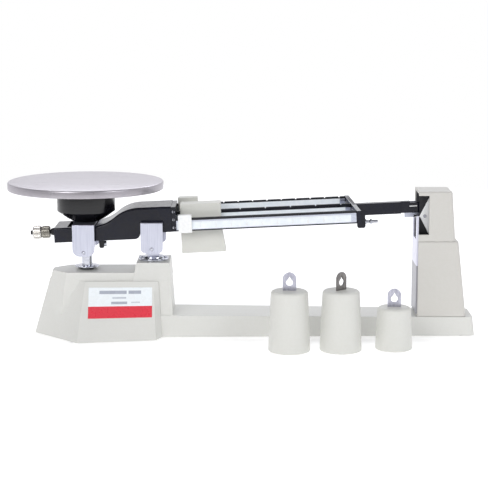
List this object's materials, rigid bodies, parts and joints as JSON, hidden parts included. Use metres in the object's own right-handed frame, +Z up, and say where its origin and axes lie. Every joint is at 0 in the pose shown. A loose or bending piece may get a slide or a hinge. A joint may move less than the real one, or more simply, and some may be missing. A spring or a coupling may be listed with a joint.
{
  "type": "triple beam balance",
  "caption": "Single-pan balance: round steel plate on a link-guided post, tilting beam with three notched bars and sliding riders, damped index tower, loose attachment weights.",
  "frame": {"origin": "on the table (1 mm under the base rim), in the beam's middle plane, straight under the fulcrum edge", "axes": "+X along the base to the index tower, +Y to the back, +Z up"},
  "size_m": [0.4509, 0.1717, 0.1493],
  "materials": {
    "beige_enamel": "satin",
    "black_enamel": "gloss",
    "white_enamel": "satin",
    "label_film": "satin",
    "foot_rubber": "matte",
    "nickel_plate": "satin",
    "screw_steel": "satin",
    "hard_steel": "satin",
    "agate": "gloss",
    "magnet": "satin",
    "yoke_steel": "satin",
    "bright_aluminium": "satin",
    "scale_film": "satin",
    "black_plastic": "gloss",
    "stainless": "satin"
  },
  "bodies": {
    "base": {"base_casting": "beige_enamel", "rubber_feet": "foot_rubber", "front_label": "label_film", "fulcrum_side_plates": "nickel_plate", "fulcrum_flange": "nickel_plate", "fulcrum_post": "nickel_plate", "fulcrum_cross_bar": "nickel_plate", "fulcrum_rivets": "screw_steel", "fulcrum_bearings": "agate", "flange_screws": "screw_steel", "link_anchor": "screw_steel", "tower_housing": "beige_enamel", "tower_cap": "beige_enamel", "tower_screws": "screw_steel", "damper_magnets": "magnet", "damper_yoke": "yoke_steel", "tower_face_plate": "bright_aluminium", "index_plate": "black_enamel", "index_pointer": "white_enamel", "stop_pads": "foot_rubber"},
    "beam": {"beam_casting": "black_enamel", "fulcrum_knife_edge": "hard_steel", "pan_knife_edge": "hard_steel", "sensitivity_screw": "screw_steel", "front_bar": "bright_aluminium", "middle_bar": "bright_aluminium", "back_bar": "bright_aluminium", "scale_strips": "scale_film", "beam_end_frame": "black_enamel", "hanger_stud": "nickel_plate", "beam_tip": "black_enamel", "pointer_line": "white_enamel", "damping_vane": "bright_aluminium", "zero_rod": "nickel_plate", "zero_lock_nut": "nickel_plate"},
    "pan_support": {"pan_stirrup": "nickel_plate", "pan_cross_bar": "nickel_plate", "pan_post": "nickel_plate", "dust_disc": "nickel_plate", "post_foot_pin": "screw_steel", "pan_rivets": "screw_steel", "pan_bearings": "agate", "pan_holder": "black_plastic", "holder_screw": "screw_steel", "tare_ballast": "yoke_steel"},
    "weighing_plate": {"weighing_plate": "stainless", "plate_locating_ring": "stainless"},
    "check_link": {"check_link": "screw_steel"},
    "zero_knob": {"zero_knob": "nickel_plate"},
    "front_rider": {"front_rider": "white_enamel"},
    "middle_rider": {"middle_rider": "beige_enamel"},
    "back_rider": {"back_rider": "beige_enamel"},
    "weight_a": {"weight_a_body": "beige_enamel", "weight_a_eye": "nickel_plate"},
    "weight_b": {"weight_b_body": "beige_enamel", "weight_b_eye": "nickel_plate"},
    "weight_c": {"weight_c_body": "beige_enamel", "weight_c_eye": "nickel_plate"}
  },
  "joints": [
    {"name": "beam_tilt", "type": "hinge", "parent": "base", "child": "beam", "pos_m": [0, 0, 0.103], "axis": [0, 1, 0], "range_deg": [0, 4]},
    {"name": "pan_level", "type": "hinge", "parent": "beam", "child": "pan_support", "pos_m": [-0.06493, 0, 0.10005], "axis": [0, 1, 0], "range_deg": [-4, 0]},
    {"name": "link_tilt", "type": "hinge", "parent": "base", "child": "check_link", "pos_m": [0, 0.0068, 0.025], "axis": [0, 1, 0], "range_deg": [0, 4]},
    {"name": "plate_lift", "type": "slide", "parent": "pan_support", "child": "weighing_plate", "axis": [0, 0, 1], "range_m": [0, 0.06]},
    {"name": "zero_adjust", "type": "slide", "parent": "beam", "child": "zero_knob", "axis": [0.999, 0, 0.0454], "range_m": [-0.002, 0]},
    {"name": "front_rider_slide", "type": "slide", "parent": "beam", "child": "front_rider", "axis": [0.999, 0, 0.0454], "range_m": [0, 0.147]},
    {"name": "middle_rider_slide", "type": "slide", "parent": "beam", "child": "middle_rider", "axis": [0.999, 0, 0.0454], "range_m": [0, 0.1218]},
    {"name": "back_rider_slide", "type": "slide", "parent": "beam", "child": "back_rider", "axis": [0.999, 0, 0.0454], "range_m": [0, 0.1415]},
    {"name": "weight_a_lift", "type": "slide", "parent": "base", "child": "weight_a", "axis": [0, 0, 1], "range_m": [0, 0.08]},
    {"name": "weight_b_lift", "type": "slide", "parent": "base", "child": "weight_b", "axis": [0, 0, 1], "range_m": [0, 0.08]},
    {"name": "weight_c_lift", "type": "slide", "parent": "base", "child": "weight_c", "axis": [0, 0, 1], "range_m": [0, 0.08]}
  ],
  "couplings": [
    {"joint": "pan_level", "follows": "beam_tilt", "ratio": -1},
    {"joint": "link_tilt", "follows": "beam_tilt", "ratio": 1}
  ]
}
